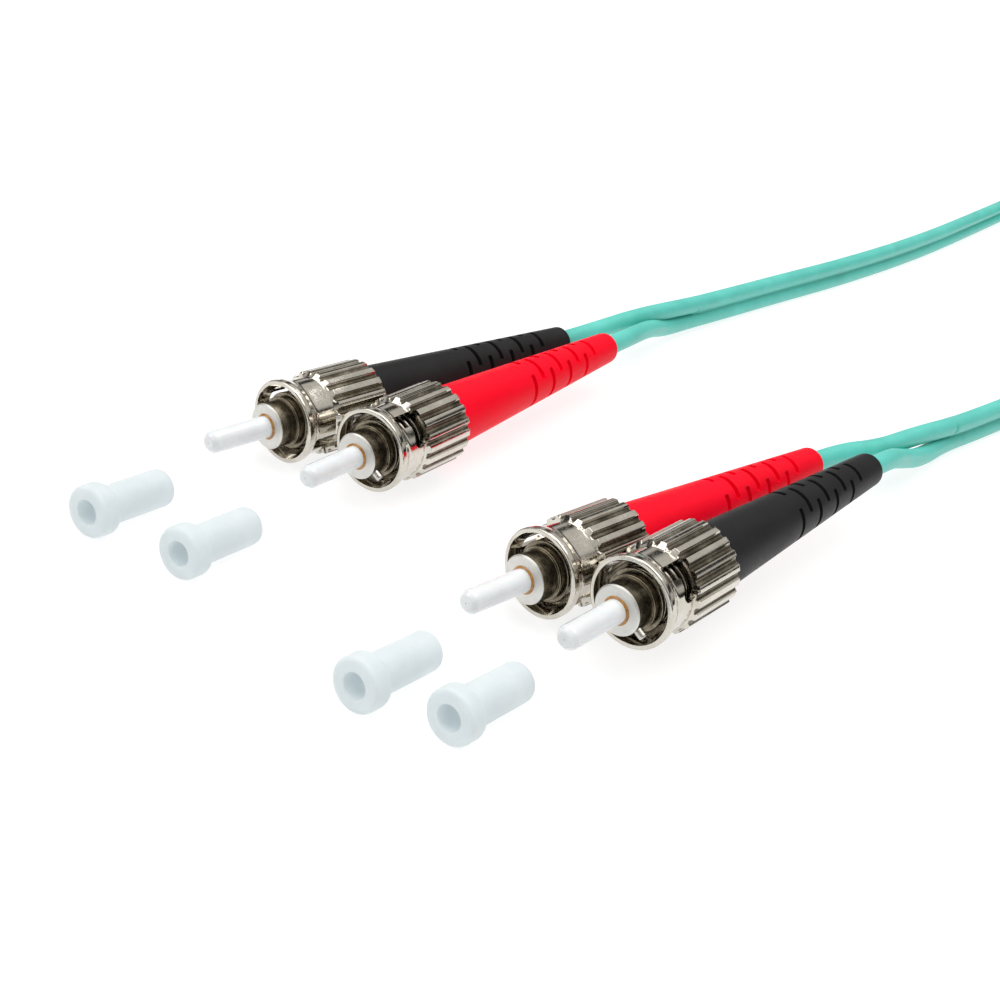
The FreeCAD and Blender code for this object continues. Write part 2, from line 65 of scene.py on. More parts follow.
# %% [markdown]
# ## Camera
# Small hardware is seen from close by, so perspective is strong: the camera hangs 74 mm above the
# table and looks 30 degrees down. It could be aimed with a Track To constraint. Here its axes are
# written out from two angles, because the camera is also rolled, which makes the cables climb to
# the right.

# %% Place the camera
CAMERA_SPOT = Vector((-1.45, -127.95, 74.44)) * MM
LOOK_DOWN = math.radians(29.67)
ROLL = math.radians(12.60)
FOCAL_LENGTH = 46.8
SENSOR_WIDTH = 36.0

right = Vector((math.cos(ROLL), math.sin(LOOK_DOWN) * math.sin(ROLL),
                math.cos(LOOK_DOWN) * math.sin(ROLL)))
backward = Vector((0.0, -math.cos(LOOK_DOWN), math.sin(LOOK_DOWN)))
upward = backward.cross(right)
camera_data = bpy.data.cameras.new("camera")
camera_data.sensor_width = SENSOR_WIDTH
camera_data.lens = FOCAL_LENGTH
camera_data.clip_start = 0.002
camera_data.clip_end = 20.0
camera = bpy.data.objects.new("camera", camera_data)
turned = Matrix((right, upward, backward)).transposed().to_4x4()
camera.matrix_world = Matrix.Translation(CAMERA_SPOT) @ turned
bpy.context.scene.collection.objects.link(camera)
bpy.context.scene.camera = camera
print("camera", [round(value, 4) for value in camera.location])

# %% [markdown]
# ## Shader arithmetic
# A finish mixes noise, masks and colours. Wiring Math nodes by hand is slow to write and hard to
# read, so a small class wraps a socket: arithmetic on it adds the Math nodes. One method makes
# every other node from its type, its settings and the values of its sockets.

# %% Shader helpers
class Signal:
    """A number on a socket; an operator on it adds one Math node and gives the result."""

    def __init__(self, finish, socket):
        self.finish = finish
        self.socket = socket

    def _with(self, operation, first, second):
        node = self.finish.node("ShaderNodeMath", {"operation": operation}, {0: first, 1: second})
        return Signal(self.finish, node.outputs[0])

    def __add__(self, other):
        return self._with("ADD", self, other)

    def __radd__(self, other):
        return self._with("ADD", other, self)

    def __sub__(self, other):
        return self._with("SUBTRACT", self, other)

    def __rsub__(self, other):
        return self._with("SUBTRACT", other, self)

    def __mul__(self, other):
        return self._with("MULTIPLY", self, other)

    def __rmul__(self, other):
        return self._with("MULTIPLY", other, self)

    def __mod__(self, other):
        return self._with("MODULO", self, other)

    def __abs__(self):
        return self._with("ABSOLUTE", self, 0.0)


class Finish:
    """One procedural material around a Principled shader."""

    def __init__(self, name, **constants):
        self.material = bpy.data.materials.new(name)
        self.material.use_nodes = True
        self.tree = self.material.node_tree
        self.shader = self.tree.nodes["Principled BSDF"]
        for socket, value in constants.items():
            label = socket.replace("_", " ").title().replace("Ior", "IOR")
            self.shader.inputs[label].default_value = value
        self.place = self.node("ShaderNodeTexCoord").outputs["Object"]

    def node(self, kind, settings=None, values=None):
        """Add a node: settings first, then a number, colour or link for each named socket."""
        made = self.tree.nodes.new(kind)
        for name, value in (settings or {}).items():
            if name == "stops":
                ramp = made.color_ramp
                while len(ramp.elements) < len(value):
                    ramp.elements.new(0.5)
                for element, (position, colour) in zip(ramp.elements, value):
                    element.position = position
                    element.color = (*colour, 1.0)
            else:
                setattr(made, name, value)
        for name, value in (values or {}).items():
            source = value.socket if isinstance(value, Signal) else value
            if isinstance(source, bpy.types.NodeSocket):
                self.tree.links.new(source, made.inputs[name])
            else:
                made.inputs[name].default_value = source
        return made

    def along(self, around, lengthwise):
        """The piece's own map, stretched: turns round the axis, then millimetres along the outline."""
        source = self.node("ShaderNodeTexCoord").outputs["UV"]
        values = {"Vector": source, "Scale": (around, lengthwise, 1.0)}
        return self.node("ShaderNodeMapping", None, values).outputs["Vector"]

    def spot(self):
        """The same map, not stretched, as two numbers."""
        node = self.node("ShaderNodeSeparateXYZ", None, {"Vector": self.along(1.0, 1.0)})
        return Signal(self, node.outputs["X"]), Signal(self, node.outputs["Y"])

    def mix(self, share, at_zero, at_one):
        """Colour that goes from one to the other with the share."""
        values = {0: share, 6: at_zero, 7: at_one}
        return self.node("ShaderNodeMix", {"data_type": "RGBA"}, values).outputs[2]

    def noise(self, scale, detail=4.0, roughness=0.55, distortion=0.0, place=None):
        """Cloudy noise, mostly from 0.3 to 0.7, with scale clouds to the metre."""
        values = {"Vector": place or self.place, "Scale": scale, "Detail": detail}
        values.update({"Roughness": roughness, "Distortion": distortion})
        return Signal(self, self.node("ShaderNodeTexNoise", None, values).outputs["Fac"])

    def ramp(self, signal, *stops):
        """Colours along a signal."""
        return self.node("ShaderNodeValToRGB", {"stops": stops}, {"Fac": signal}).outputs["Color"]

    def step(self, signal, low, high, at_low=0.0, at_high=1.0):
        """Smooth climb from at_low to at_high while the signal goes from low to high."""
        values = {"Value": signal, "From Min": low, "From Max": high, "To Min": at_low, "To Max": at_high}
        node = self.node("ShaderNodeMapRange", {"interpolation_type": "SMOOTHSTEP"}, values)
        return Signal(self, node.outputs["Result"])

    def feed(self, socket, signal):
        """Link a signal or colour to one of the shader's own sockets."""
        source = signal.socket if isinstance(signal, Signal) else signal
        self.tree.links.new(source, self.shader.inputs[socket])

    def bump(self, height, distance, strength=1.0):
        """Raise and dent the surface by a height signal; distance is in metres."""
        values = {"Height": height, "Distance": distance, "Strength": strength}
        node = self.node("ShaderNodeBump", None, values)
        self.feed("Normal", node.outputs["Normal"])


# %% [markdown]
# ## Surfaces from numpy
# Nearly every piece here is turned: an outline of radius against station, carried round an axis.
# The screw tool could do that, but one grid function also allows flutes, grooves and notches,
# because the radius may change with both angle and station. The grid also gets a map, so that a
# finish can follow the turn and the outline.

# %% Lattice
def lattice(name, points, close_rows=True, pole=False, sharp=180.0):
    """Mesh of a rows by columns grid of points whose columns close up round the axis.

    Its map holds the share of the columns passed and the mean distance walked from row to row.
    Edges that turn by more than sharp degrees are not smoothed over."""
    rows, columns = points.shape[:2]
    index = np.arange(rows * columns).reshape(rows, columns)
    across = np.roll(index, -1, axis=1)
    faces = np.stack([index, across, np.roll(across, -1, axis=0), np.roll(index, -1, axis=0)], axis=-1)
    if not close_rows:
        faces = faces[:-1]
    mesh = bpy.data.meshes.new(name)
    mesh.from_pydata(points.reshape(-1, 3), [], faces.reshape(-1, 4))
    steps = np.linalg.norm(np.roll(points, -1, axis=0) - points, axis=-1).mean(axis=1)
    walked = np.concatenate([[0.0], np.cumsum(steps)])[:len(faces) + 1]
    share = np.arange(columns + 1) / columns
    corners = np.empty(faces.shape + (2,))
    corners[..., 0] = np.stack([share[:-1], share[1:], share[1:], share[:-1]], axis=-1)
    corners[..., 1] = np.stack([walked[:-1], walked[:-1], walked[1:], walked[1:]], axis=-1)[:, None]
    mesh.uv_layers.new(name="around").data.foreach_set("uv", corners.ravel())
    shell = bmesh.new()
    shell.from_mesh(mesh)
    if pole:
        bmesh.ops.remove_doubles(shell, verts=shell.verts, dist=1e-7)
        bmesh.ops.dissolve_degenerate(shell, edges=shell.edges, dist=1e-8)
    bmesh.ops.recalc_face_normals(shell, faces=shell.faces)
    shell.to_mesh(mesh)
    shell.free()
    mesh.shade_smooth()
    if sharp < 180.0:
        mesh.set_sharp_from_angle(angle=math.radians(sharp))
    return mesh


# %% [markdown]
# ## Outlines
# A real edge is never perfectly sharp, and its small round is what catches the light. A Bevel
# modifier could make it, but here every corner of an outline gets its own rounding before the
# outline is turned, so the rows land exactly where the round begins and ends.

# %% Rounded outlines
def rounded_outline(corners, steps=4, closed=True):
    """Outline through (radius, station, rounding) corners in mm.

    A corner becomes an arc of its rounding that touches both sides, and a guard point just
    outside each end of the arc keeps the shading of the flats flat."""
    spots = np.array([corner[:2] for corner in corners], dtype=float)
    outline = []
    for number, (_, _, rounding) in enumerate(corners):
        here = spots[number]
        if rounding == 0 or (not closed and number in (0, len(corners) - 1)):
            outline.append(here[None])
            continue
        back = spots[number - 1] - here
        ahead = spots[(number + 1) % len(spots)] - here
        back_length = np.linalg.norm(back)
        ahead_length = np.linalg.norm(ahead)
        back /= back_length
        ahead /= ahead_length
        half = math.acos(np.clip(back @ ahead, -1, 1)) / 2
        cut = rounding / math.tan(half)
        inward = (back + ahead) / np.linalg.norm(back + ahead)
        centre = here + inward * rounding / math.sin(half)
        start = math.atan2(*(here + back * cut - centre)[::-1])
        sweep = math.atan2(*(here + ahead * cut - centre)[::-1]) - start
        sweep = (sweep + math.pi) % (2 * math.pi) - math.pi
        angle = start + sweep * np.linspace(0, 1, steps + 1)
        arc = centre + rounding * np.stack([np.cos(angle), np.sin(angle)], axis=1)
        guard = cut * 1.25
        before = here + back * min(guard, 0.49 * back_length)
        after = here + ahead * min(guard, 0.49 * ahead_length)
        outline.extend([before[None], arc, after[None]])
    return np.concatenate(outline)


def eased(value):
    """Smooth climb from 0 to 1: t t (3 - 2 t)."""
    share = np.clip(value, 0.0, 1.0)
    return share * share * (3.0 - 2.0 * share)


def turned_grid(outline, columns=96):
    """Outline carried round the axis: x = r cos(angle), y = r sin(angle), z = station."""
    angle = np.linspace(0, 2 * math.pi, columns, endpoint=False)
    radius = outline[:, :1]
    station = np.repeat(outline[:, 1:], columns, axis=1)
    return np.stack([radius * np.cos(angle), radius * np.sin(angle), station], axis=-1)


print("a rounded square has", len(rounded_outline([(0, 0, 1), (4, 0, 1), (4, 4, 1), (0, 4, 1)])), "points")

# %% [markdown]
# ## Where each connector sits
# A connector's own frame starts at the ferrule tip: z runs to the cable, x points down and y to
# the left. The record's pin mounts hold a point on each ferrule and the way the ferrule points,
# which is all that is needed to carry a local grid to its place on the table.

# %% Seats
MOUNT_STATION = 4.075 * MM
MOUNTS = {mount["name"]: mount for mount in frame["record"]["mounts"]}


def seat(name):
    """Tip and the three local axes of a connector."""
    mount = MOUNTS["ferrule_end_" + name]
    heading = -np.array(mount["axis"])
    tip = np.array(mount["pos_m"]) - heading * MOUNT_STATION
    down = np.array([0.0, 0.0, -1.0])
    return tip, np.array([down, np.cross(heading, down), heading])


def add_piece(name, mesh, body, finish, replaced=()):
    """Object at the origin that rides on a body and stands for CAD nodes."""
    piece = bpy.data.objects.new(name, mesh)
    bpy.context.scene.collection.objects.link(piece)
    mesh.materials.clear()
    mesh.materials.append(finish.material)
    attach(piece, body)
    if replaced:
        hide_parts(*replaced)
    return piece


def seated(mesh, name, roll=0.0):
    """Copy of a mesh in connector millimetres, rolled about its axis and carried to its place."""
    tip, axes = seat(name)
    moved = mesh.copy()
    spots = np.empty(len(moved.vertices) * 3)
    moved.vertices.foreach_get("co", spots)
    cosine, sine = math.cos(math.radians(roll)), math.sin(math.radians(roll))
    turning = np.array([[cosine, sine, 0.0], [-sine, cosine, 0.0], [0.0, 0.0, 1.0]])
    spots = tip + (spots.reshape(-1, 3) @ turning * MM) @ axes
    moved.vertices.foreach_set("co", spots.ravel())
    moved.update()
    return moved


for name in CONNECTORS:
    print(name, "tip", np.round(seat(name)[0] * 1000, 2))

# %% [markdown]
# ## Floor
# The cord lies on a white table. One big square is enough. A little glow of its own keeps it
# close to white, so that only soft contact shadows stay under the parts.

# %% Floor
FLOOR_HALF = 3.0
FLOOR_GREY = 0.28
FLOOR_GLOW = 0.80
corner_signs = [(-1, -1), (1, -1), (1, 1), (-1, 1)]
floor_mesh = bpy.data.meshes.new("floor")
floor_corners = [(x * FLOOR_HALF, y * FLOOR_HALF, 0.0) for x, y in corner_signs]
floor_mesh.from_pydata(floor_corners, [], [(0, 1, 2, 3)])
floor = bpy.data.objects.new("floor", floor_mesh)
bpy.context.scene.collection.objects.link(floor)
floor_finish = Finish("pale_floor", roughness=0.9, base_color=(FLOOR_GREY, FLOOR_GREY, FLOOR_GREY, 1),
                      specular_ior_level=0.0, emission_color=(1.0, 1.0, 1.0, 1),
                      emission_strength=FLOOR_GLOW)
floor_mesh.materials.append(floor_finish.material)
print("floor", 2 * FLOOR_HALF, "m wide")

# %% [markdown]
# ## Lamps
# Two square area lights stand in for a softbox overhead and a window on the left. A point light
# would give hard shadows and tiny highlights, which small white parts do not survive.

# %% Lights
def soft_light(name, spot, aim, size, watts):
    """Square area light at a spot that looks at an aim point."""
    data = bpy.data.lights.new(name, "AREA")
    data.size = size
    data.energy = watts
    light = bpy.data.objects.new(name, data)
    light.location = spot
    light.rotation_mode = "QUATERNION"
    light.rotation_quaternion = (Vector(aim) - Vector(spot)).to_track_quat("-Z", "Y")
    bpy.context.scene.collection.objects.link(light)
    print(name, watts, "W")


soft_light("overhead", (0.05, 0.10, 0.75), (0.0, 0.05, 0.0), 0.8, 5.0)
soft_light("left_window", (-0.70, -0.15, 0.45), (0.0, 0.02, 0.0), 0.5, 1.8)

# %% [markdown]
# ## Room
# Metal shows what surrounds it. A plain sky would make the nuts flat grey, so a ramp along the
# height of the view direction lays out bright panels with dark gaps between them.

# %% Sky
# (height of the view direction, horizon 0 and straight up 1, and brightness); the first holds below
SKY_BANDS = [(0.00, 0.035), (0.10, 0.05), (0.16, 0.85), (0.28, 1.00), (0.34, 0.10), (0.46, 0.08),
             (0.54, 1.10), (1.00, 1.10)]
SKY_TINT = (1.0, 0.98, 0.94)
SKY_STRENGTH = 0.62
world = bpy.data.worlds.new("studio")
world.use_nodes = True
bpy.context.scene.world = world
sky = world.node_tree
sky_background = sky.nodes["Background"]
sky_place = sky.nodes.new("ShaderNodeTexCoord")
sky_split = sky.nodes.new("ShaderNodeSeparateXYZ")
sky_ramp = sky.nodes.new("ShaderNodeValToRGB")
sky.links.new(sky_place.outputs["Generated"], sky_split.inputs[0])
sky.links.new(sky_split.outputs["Z"], sky_ramp.inputs["Fac"])
sky.links.new(sky_ramp.outputs["Color"], sky_background.inputs["Color"])
while len(sky_ramp.color_ramp.elements) < len(SKY_BANDS):
    sky_ramp.color_ramp.elements.new(0.5)
for element, (height, brightness) in zip(sky_ramp.color_ramp.elements, SKY_BANDS):
    element.position = height
    element.color = (*(brightness * share for share in SKY_TINT), 1)
sky_background.inputs["Strength"].default_value = SKY_STRENGTH
bpy.context.scene.view_settings.view_transform = "Standard"
print("sky bands", len(SKY_BANDS))

# %% [markdown]
# ## The cable
# Zipcord: two round jackets side by side, joined by a thin web, here standing on edge because that
# is the way it bends easily. Each leg is one jacket that was torn off the web. A bevelled curve
# would give the round legs; a grid carried along the NURBS line also gives the figure-eight.

# %% Cable finish
def jacket_finish():
    """Satin aqua jacket: faint clouding and a very fine grain."""
    finish = Finish("aqua_jacket", roughness=0.42, subsurface_weight=0.06, subsurface_scale=0.0006)
    clouds = finish.noise(180.0, 3.0)
    grain = finish.noise(4200.0, 2.0)
    shade = clouds * 0.7 + grain * 0.3
    aqua = finish.ramp(shade, (0.30, (0.085, 0.50, 0.43)), (0.70, (0.130, 0.63, 0.55)))
    finish.feed("Base Color", aqua)
    finish.feed("Roughness", finish.step(clouds, 0.3, 0.7, 0.36, 0.48))
    finish.bump(grain, 0.00002, 0.5)
    return finish


JACKET = jacket_finish()
print(JACKET.material.name, len(JACKET.tree.nodes), "nodes")

# %% [markdown]
# ## From a line to a cable
# A cable's line is a smooth curve that is steered by a few points. A NURBS curve of order 3 gives
# arcs that flow into each other. A closed section is then carried along the line by hand, since
# the section has to keep its up direction: a figure-eight must not roll.

# %% Centrelines
def centreline(points):
    """Points along the NURBS line that has the route as its control points."""
    curve = bpy.data.curves.new("route", "CURVE")
    curve.dimensions = "3D"
    spline = curve.splines.new("NURBS")
    spline.points.add(len(points) - 1)
    spline.points.foreach_set("co", np.column_stack([points, np.ones(len(points))]).ravel())
    spline.order_u = 3
    spline.use_endpoint_u = True
    spline.resolution_u = 8
    route = bpy.data.objects.new("route", curve)
    line = bpy.data.meshes.new_from_object(route)
    spots = np.empty(len(line.vertices) * 3)
    line.vertices.foreach_get("co", spots)
    bpy.data.objects.remove(route)
    bpy.data.curves.remove(curve)
    bpy.data.meshes.remove(line)
    return spots.reshape(-1, 3)


def length_of(line):
    """Sum of the distances between neighbouring points."""
    return float(np.linalg.norm(np.diff(line, axis=0), axis=1).sum())


def carried(name, line, section, size=1.0):
    """Mesh of a closed section (across, up) carried along a line.

    At each point the section stands square to the line, its up direction as near to vertical as
    that allows; size may scale it from point to point, and both ends are drawn in to a flat cap."""
    forward = np.gradient(line, axis=0)
    forward /= np.linalg.norm(forward, axis=1, keepdims=True)
    across = np.cross(forward, [0.0, 0.0, 1.0])
    across /= np.linalg.norm(across, axis=1, keepdims=True)
    up = np.cross(across, forward)
    spread = np.broadcast_to(size, len(line))[:, None, None] * section[None]
    body = line[:, None] + across[:, None] * spread[..., :1] + up[:, None] * spread[..., 1:]
    start = line[0] + (body[0] - line[0]) * 0.001
    end = line[-1] + (body[-1] - line[-1]) * 0.001
    return lattice(name, np.concatenate([start[None], body, end[None]]), close_rows=False)


def walked_along(line):
    """Distance from the start of a line to each of its points."""
    return np.concatenate([[0.0], np.cumsum(np.linalg.norm(np.diff(line, axis=0), axis=1))])


print("straight line of", length_of(centreline(np.array([[0.0, 0, 0], [0.5, 0, 0], [1.0, 0, 0]]))), "m")

# %% [markdown]
# ## Legs
# Each leg is a single jacket that leaves its boot and runs to the split. It narrows a little at
# its end and reaches into the duplex cable, so the two run into each other without a step.

# %% Legs
JACKET_RADIUS = 1.30 * MM
LEG_ROUTES = {
    "a_black": [(5.05, 45.95, 4.9), (11.95, 56.05, 5.1), (16.85, 62.35, 5.0),
                (21.45, 68.85, 4.55), (24.3, 73.0, 4.37)],
    "a_red": [(10.9, 45.0, 6.0), (14.45, 54.65, 4.6), (17.15, 62.0, 2.25),
              (21.45, 68.85, 1.85), (24.3, 73.0, 1.68)],
    "b_red": [(38.95, 24.65, 4.9), (45.9, 29.75, 4.75), (51.6, 36.2, 4.75),
              (58.05, 43.25, 4.35), (61.45, 47.25, 4.15)],
    "b_black": [(44.8, 21.5, 7.4), (48.7, 28.3, 4.7), (53.1, 35.1, 2.35),
                (58.05, 43.25, 1.65), (61.45, 47.25, 1.45)],
}
LEG_START = 53.9 * MM
turn = np.linspace(0, 2 * math.pi, 32, endpoint=False)
ROUND = JACKET_RADIUS * np.column_stack([np.cos(turn), np.sin(turn)])
MERGE_LENGTH = 4.0 * MM
MERGED_SIZE = 0.97

for name, route in LEG_ROUTES.items():
    tip, axes = seat(name)
    line = centreline(np.vstack([tip + axes[2] * LEG_START, np.array(route) * MM]))
    to_end = length_of(line) - walked_along(line)
    thinned = np.interp(to_end, [0, MERGE_LENGTH], [MERGED_SIZE, 1.0])
    leg_mesh = carried("cable_leg_" + name, line, ROUND, thinned)
    leg = add_piece("cable_leg_" + name, leg_mesh, "cord", JACKET, ["leg_" + name])
    print(leg.name, round(length_of(line) * 1000, 1), "mm")

# %% [markdown]
# ## Duplex cable
# From the split of one pair the cable leaves the view, goes through a flat coil and comes back to
# the other pair, all one line. The coil's points are worked out from turns and radius, because a
# coil is exactly that: the angle falls steadily while the radius shrinks and grows again.

# %% Duplex routes
ROUTE_A = [
    (21.45, 68.85, 3.2), (27.15, 77.15, 2.85), (36.45, 90.05, 2.7), (52.0, 110.6, 2.7),
    (71.45, 138.8, 2.7), (94.0, 176.0, 2.75),
]
ROUTE_B = [
    (58.05, 43.25, 3.0), (61.45, 47.25, 2.8), (69.15, 56.35, 2.7), (83.0, 72.9, 2.7),
    (108.0, 101.5, 2.7), (137.0, 134.5, 2.75), (156.0, 156.2, 4.9),
]
COIL_CENTRE = np.array([141.95, 194.05])
COIL_OUTER = 32.0
COIL_INNER = 27.0
LOWER_LAYER = 2.7
UPPER_LAYER = 8.1
COIL_TURNS = 3.5
LOWER_TURNS = 1.8
FIRST_ANGLE = 149.0
POINTS_PER_TURN = 24
CLIMB_TURNS = 0.24


def coil_route():
    """Control points of two layers of turns: inward below, a climb, outward above."""
    done = np.linspace(0, COIL_TURNS, int(COIL_TURNS * POINTS_PER_TURN) + 1)
    angle = np.radians(FIRST_ANGLE - 360 * done)
    radius = np.interp(done, [0, LOWER_TURNS, COIL_TURNS], [COIL_OUTER, COIL_INNER, COIL_OUTER])
    climb = eased((done - LOWER_TURNS + CLIMB_TURNS / 2) / CLIMB_TURNS)
    height = LOWER_LAYER + (UPPER_LAYER - LOWER_LAYER) * climb
    around = COIL_CENTRE + radius[:, None] * np.column_stack([np.cos(angle), np.sin(angle)])
    return np.column_stack([around, height])


duplex_line = centreline(np.vstack([ROUTE_A, coil_route(), ROUTE_B[::-1]]) * MM)
print("centreline points", len(duplex_line))

# %% [markdown]
# ## Figure-eight section
# Two round jackets and the web between them make the section. Carried along the whole line, it
# gives the cable its valley on both sides, which a single round tube would lack.

# %% Duplex cable
SPACING = 2.70 * MM
WEB_HALF = 0.50 * MM
SPLIT_SIZE = 0.985


def figure_eight(count=22):
    """Two circles one above the other, open toward each other where the web joins them."""
    opening = math.asin(WEB_HALF / JACKET_RADIUS)
    turn = np.linspace(-math.pi / 2 + opening, 1.5 * math.pi - opening, count)
    upper = np.column_stack([JACKET_RADIUS * np.cos(turn), SPACING / 2 + JACKET_RADIUS * np.sin(turn)])
    return np.vstack([upper, -upper])


done = walked_along(duplex_line)
near_an_end = np.minimum(done, done[-1] - done)
swelling = np.interp(near_an_end, [0, MERGE_LENGTH], [SPLIT_SIZE, 1.0])
duplex_mesh = carried("duplex_cable", duplex_line, figure_eight(), swelling)
duplex = add_piece("duplex_cable", duplex_mesh, "cord", JACKET, ["duplex_a", "duplex_b", "coil"])
print(duplex.name, round(length_of(duplex_line) * 1000), "mm")

# %% [markdown]
# ## Coupling nut
# The bayonet nut is metal with a bright nickel plate. Its mouth flares to a thin rounded lip, the
# neck carries two J-shaped slots for the lugs of the port, and the grip behind is knurled with 20
# straight flutes. An Array of cutters could make the flutes, but a grid is lighter: it follows the
# outline, and its radius never passes the circle of the nearest flute.

# %% Nut outline and flutes
FLUTES = 20
FLUTE_RADIUS = 0.42
FLUTE_CIRCLE = 4.92
KNURL_START = 14.4
RIDGE_TOP = 4.90
RIDGE_FALL = 0.12
RIDGE_HALF = math.radians(7.0)
KEYWAY_END = 11.35
KEYWAY_RADIUS = 4.35
KEYWAY_CENTRE = 208.0
KEYWAY_HALF = 9.0
# (radius, station, rounding) in mm: lip, neck, chamfer, grip, then back along the bore
NUT_CORNERS = [
    (4.30, 10.10, 0.05), (4.80, 10.10, 0.20), (4.80, 10.85, 0.60), (4.36, 11.75, 1.60), (4.35, 14.40, 0.0),
    (4.50, 14.53, 0.0), (4.60, 14.62, 0.0), (4.75, 14.75, 0.0), (4.90, 14.88, 0.06), (4.90, 22.20, 0.18),
    (4.05, 22.20, 0.10), (4.05, 17.27, 0.0), (2.28, 17.27, 0.0), (2.28, 16.33, 0.0), (3.90, 16.33, 0.0),
    (3.90, 11.36, 0.0), (3.90, 11.34, 0.0), (3.92, 11.10, 0.20),
]
NUT_OUTLINE = rounded_outline(NUT_CORNERS, 5)
# degrees from a flute's middle; the columns crowd where the flute meets the ridge
FLUTE_OFFSETS = (-9.0, -7.0, -5.3, -4.95, -4.84, -4.6, -4.0, -2.9, -1.5,
                 0.0, 1.5, 2.9, 4.0, 4.6, 4.84, 4.95, 5.3, 7.0)


def nut_grid():
    """Outline rows by columns placed at the flute edges.

    flute wall: r = C cos(d) - sqrt(f^2 - (C sin(d))^2), d the angle from the flute's middle."""
    period = 360.0 / FLUTES
    degrees = (np.arange(FLUTES)[:, None] * period + np.array(FLUTE_OFFSETS)).ravel()
    apart = np.radians((degrees + period / 2) % period - period / 2)
    side = FLUTE_CIRCLE * np.sin(apart)
    inside = np.abs(side) < FLUTE_RADIUS
    depth = np.sqrt(np.where(inside, FLUTE_RADIUS ** 2 - side ** 2, 0.0))
    wall = np.where(inside, FLUTE_CIRCLE * np.cos(apart) - depth, np.inf)
    wall = np.minimum(wall, RIDGE_TOP - RIDGE_FALL * eased((RIDGE_HALF - np.abs(apart)) / RIDGE_HALF))
    radius = np.repeat(NUT_OUTLINE[:, :1], len(degrees), axis=1)
    station = np.repeat(NUT_OUTLINE[:, 1:], len(degrees), axis=1)
    knurled = (station >= KNURL_START) & (radius > KEYWAY_RADIUS)
    radius = np.where(knurled, np.minimum(radius, wall), radius)
    keyed = np.abs((degrees - KEYWAY_CENTRE + 90.0) % 180.0 - 90.0) < KEYWAY_HALF
    mouth = (station < KEYWAY_END) & (radius < KEYWAY_RADIUS) & keyed
    radius = np.where(mouth, KEYWAY_RADIUS, radius)
    angle = np.radians(degrees)
    return np.stack([radius * np.cos(angle), radius * np.sin(angle), station], axis=-1)


print("nut outline rows", len(NUT_OUTLINE), "columns", FLUTES * len(FLUTE_OFFSETS))

# %% [markdown]
# ## Bayonet slots
# A lug of the port enters at the mouth, runs along the ramp and drops into the round detent. The
# slot is drawn on the unrolled neck, wrapped round it as a wedge and cut with a Boolean, because a
# hole that crosses a grid needs walls of its own.

# %% Nut slots
NECK = 4.35
# (degrees round the neck, station in mm, rounding in mm)
SLOT_CORNERS = [(197.0, 11.4, 0.20), (219.0, 11.4, 0.20), (219.0, 13.2, 0.12), (231.0, 13.2, 0.10)]
# centre in degrees, station and radius in mm, first and last direction of the arc in degrees
DETENT = (243.0, 13.85, 0.9, -125.0, 85.0)
SLOT_BACK = [(243.0, 14.9, 0.05), (197.0, 14.9, 0.25)]
FAN_CENTRE = (214.0, 14.0)
CUTTER_REACH = (3.3, 6.0)
DETENT_STEPS = 15
NUT_SHARP_ANGLE = 34.0


def slot_cutter(half_turn):
    """Radial wedge whose outline, unrolled on the neck, is the lead, the ramp and the round detent."""
    def unrolled(degrees):
        return math.radians(degrees) * NECK

    degrees, station, radius, first, last = DETENT
    bend = np.radians(np.linspace(first, last, DETENT_STEPS))
    middle = unrolled(degrees)
    detent = [(middle + radius * math.cos(a), station + radius * math.sin(a), 0.0) for a in bend]
    corners = [(unrolled(a), s, r) for a, s, r in SLOT_CORNERS] + detent
    corners += [(unrolled(a), s, r) for a, s, r in SLOT_BACK]
    edge = rounded_outline(corners, 5)
    angle = edge[:, 0] / NECK + half_turn
    rim = np.stack([np.cos(angle), np.sin(angle)], axis=1)
    fan = math.radians(FAN_CENTRE[0]) + half_turn
    rows = []
    for reach in CUTTER_REACH:
        ring = np.column_stack([reach * rim, edge[:, 1]])
        hub = [reach * math.cos(fan), reach * math.sin(fan), FAN_CENTRE[1]]
        rows.append([np.tile(hub, (len(ring), 1)), ring])
    return lattice("cutter", np.stack([rows[0][0], rows[0][1], rows[1][1], rows[1][0]]), False, True)


def cut_nut():
    """Nut mesh with both slots cut through its neck."""
    nut = bpy.data.objects.new("nut_blank", lattice("nut_blank", nut_grid()))
    bpy.context.scene.collection.objects.link(nut)
    tools = []
    for half_turn in (0.0, math.pi):
        tool = bpy.data.objects.new("cutter", slot_cutter(half_turn))
        bpy.context.scene.collection.objects.link(tool)
        cut = nut.modifiers.new("slot", "BOOLEAN")
        cut.operation = "DIFFERENCE"
        cut.solver = "EXACT"
        cut.object = tool
        tools.append(tool)
    graph = bpy.context.evaluated_depsgraph_get()
    mesh = bpy.data.meshes.new_from_object(nut.evaluated_get(graph))
    for spare in [nut] + tools:
        bpy.data.objects.remove(spare)
    mesh.shade_smooth()
    mesh.set_sharp_from_angle(angle=math.radians(NUT_SHARP_ANGLE))
    return mesh


NUT = cut_nut()
print("nut faces", len(NUT.polygons))

# %% [markdown]
# ## Nickel
# Bright plate mirrors the room, so its colour hardly varies. What gives it away as a real casting
# is a faint unevenness; the flutes get painted shade, a dull dark brown in their hollows. The map
# from the lattice tells the shader where the flutes are, so no image is needed.

# %% Nickel finish
NUT_WALK = walked_along(NUT_OUTLINE)
OUTER_ROWS = np.flatnonzero((NUT_OUTLINE[:, 1] > KNURL_START) & (NUT_OUTLINE[:, 0] > KEYWAY_RADIUS))
KNURL_WALK = (float(NUT_WALK[OUTER_ROWS[0]]), float(NUT_WALK[OUTER_ROWS[-1]]))
FLUTE_SHARE = (0.12, 0.22)


